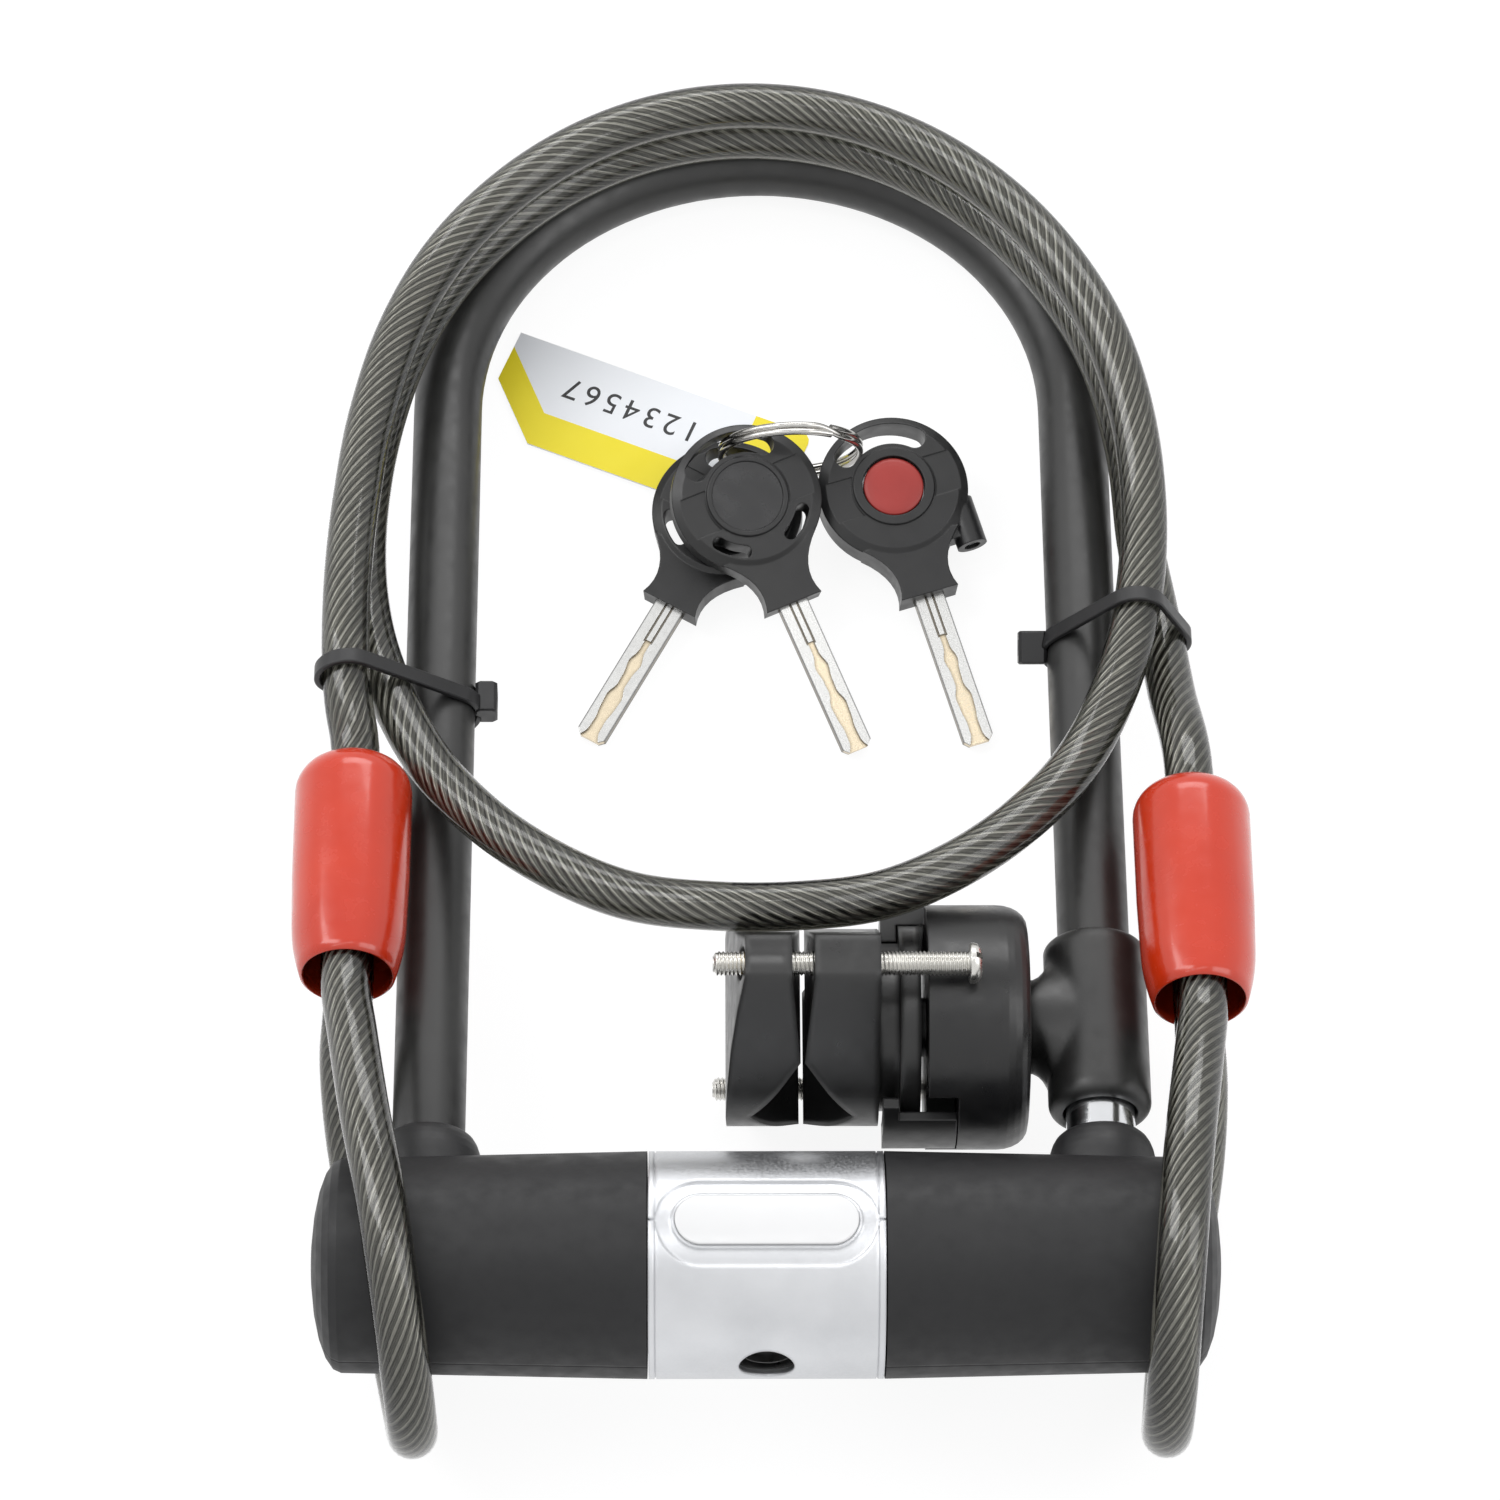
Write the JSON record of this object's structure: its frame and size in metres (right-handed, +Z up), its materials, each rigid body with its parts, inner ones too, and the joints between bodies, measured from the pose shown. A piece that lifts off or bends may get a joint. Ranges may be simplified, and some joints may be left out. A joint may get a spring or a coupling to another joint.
{
  "type": "u lock",
  "caption": "Bicycle U lock with a round crossbar, coated shackle, clamp-on frame bracket, looped cable with capped eyes and a key set.",
  "frame": {"origin": "middle of the lock at floor level, below the middle of its box without the cable", "axes": "+X along the crossbar towards the bracket leg, +Y from the crossbar to the bow, +Z up"},
  "size_m": [0.1955, 0.3183, 0.0723],
  "materials": {
    "steel_dark": "plain steel tube and inner plates",
    "cover": "matte black sleeve over the crossbar",
    "cuff": "satin black rubber cuff",
    "collar": "satin silver collar",
    "grip": "white grip pad",
    "brass": "brass cylinder parts",
    "hard_steel": "hardened steel",
    "shackle_steel": "bright plated bar",
    "coating": "satin black vinyl coating",
    "bracket": "black nylon bracket",
    "bracket_head": "black nylon release head",
    "zinc": "zinc-plated screw",
    "cable": "twisted steel rope in a smoky clear jacket",
    "crimp": "pressed ferrule",
    "sleeve": "glossy red vinyl sleeve",
    "tie": "black nylon cable tie",
    "ring_wire": "spring steel split ring",
    "tag": "white card tag with a yellow band",
    "key_blade": "nickel key blade",
    "key_head": "black moulded key head",
    "key_cap": "smooth black insert",
    "button": "red push button",
    "lens": "clear lamp lens"
  },
  "bodies": {
    "lock": {"crossbar_tube": "steel_dark", "tube_end_plates": "steel_dark", "left_cover": "cover", "right_cover": "cover", "left_cuff": "cuff", "right_cuff": "cuff", "collar_core": "bracket", "cylinder_housing": "brass", "bolt_guides": "steel_dark", "leg_carrier": "bracket", "release_head": "bracket_head", "carrier_screw": "zinc", "cable_coil": "cable", "left_eye": "cable", "right_eye": "cable", "left_crimp": "crimp", "right_crimp": "crimp", "left_sleeve": "sleeve", "right_sleeve": "sleeve", "left_tie": "tie", "right_tie": "tie", "split_ring": "ring_wire"},
    "shackle": {"shackle_bar": "shackle_steel", "shackle_coating": "coating"},
    "collar": {"key_collar": "collar", "grip_pad": "grip"},
    "plug": {"lock_plug": "brass", "wafers": "brass", "drive_cam": "hard_steel"},
    "left_bolt_body": {"left_bolt": "hard_steel"},
    "right_bolt_body": {"right_bolt": "hard_steel"},
    "latch": {"release_latch": "bracket"},
    "clamp": {"clamp_base": "bracket", "clamp_screws": "zinc"},
    "jaw": {"clamp_jaw": "bracket", "clamp_inserts": "brass"},
    "front_key": {"front_key_blade": "key_blade", "front_key_head": "key_head", "front_key_cap": "key_cap"},
    "rear_key": {"rear_key_blade": "key_blade", "rear_key_head": "key_head", "rear_key_cap": "key_cap"},
    "light_key": {"light_key_blade": "key_blade", "light_key_head": "key_head", "light_cell": "hard_steel", "light_lens": "lens"},
    "lamp_button": {"light_button": "button"},
    "tag": {"key_tag": "tag"}
  },
  "joints": [
    {"name": "shackle_slide", "type": "slide", "parent": "lock", "child": "shackle", "axis": [0, 0.9929, -0.1191], "range_m": [0, 0.045]},
    {"name": "plug_turn", "type": "hinge", "parent": "lock", "child": "plug", "pos_m": [0, -0.12887, 0.0401], "axis": [0, 0.9929, -0.1191], "range_deg": [0, 90]},
    {"name": "right_bolt_slide", "type": "slide", "parent": "lock", "child": "right_bolt_body", "axis": [1, 0, 0], "range_m": [0, 0.00783]},
    {"name": "left_bolt_slide", "type": "slide", "parent": "lock", "child": "left_bolt_body", "axis": [-1, 0, 0], "range_m": [0, 0.00783]},
    {"name": "collar_turn", "type": "hinge", "parent": "lock", "child": "collar", "pos_m": [0, -0.12887, 0.0401], "axis": [1, 0, 0], "range_deg": [0, 60]},
    {"name": "latch_press", "type": "slide", "parent": "lock", "child": "latch", "axis": [0, -0.9929, 0.1191], "range_m": [0, 0.0015], "stiffness_N_per_m": 2000},
    {"name": "clamp_twist", "type": "hinge", "parent": "lock", "child": "clamp", "pos_m": [0, -0.07526, 0.03366], "axis": [1, 0, 0], "range_deg": [0, 18]},
    {"name": "jaw_slide", "type": "slide", "parent": "clamp", "child": "jaw", "axis": [1, 0, 0], "range_m": [-0.003, 0.0005]},
    {"name": "front_key_swing", "type": "hinge", "parent": "lock", "child": "front_key", "pos_m": [-0.00766, 0.06563, 0.02061], "axis": [0, 0, 1], "range_deg": [-10, 0.8]},
    {"name": "rear_key_swing", "type": "hinge", "parent": "lock", "child": "rear_key", "pos_m": [-0.0065, 0.06777, 0.00838], "axis": [0, 0, 1], "range_deg": [-8, 8]},
    {"name": "light_key_swing", "type": "hinge", "parent": "lock", "child": "light_key", "pos_m": [0.02099, 0.06808, 0.01216], "axis": [0, 0, 1], "range_deg": [-2, 10]},
    {"name": "light_button_press", "type": "slide", "parent": "light_key", "child": "lamp_button", "axis": [-0.0449, 0.139, -0.9893], "range_m": [0, 0.0008], "stiffness_N_per_m": 800},
    {"name": "tag_swing", "type": "hinge", "parent": "lock", "child": "tag", "pos_m": [-0.00058, 0.06905, 0.0024], "axis": [0, 0, 1], "range_deg": [-5, 5]}
  ],
  "couplings": [
    {"joint": "right_bolt_slide", "follows": "plug_turn", "m_per_rad": 0.0049517},
    {"joint": "left_bolt_slide", "follows": "plug_turn", "m_per_rad": 0.0049517}
  ]
}
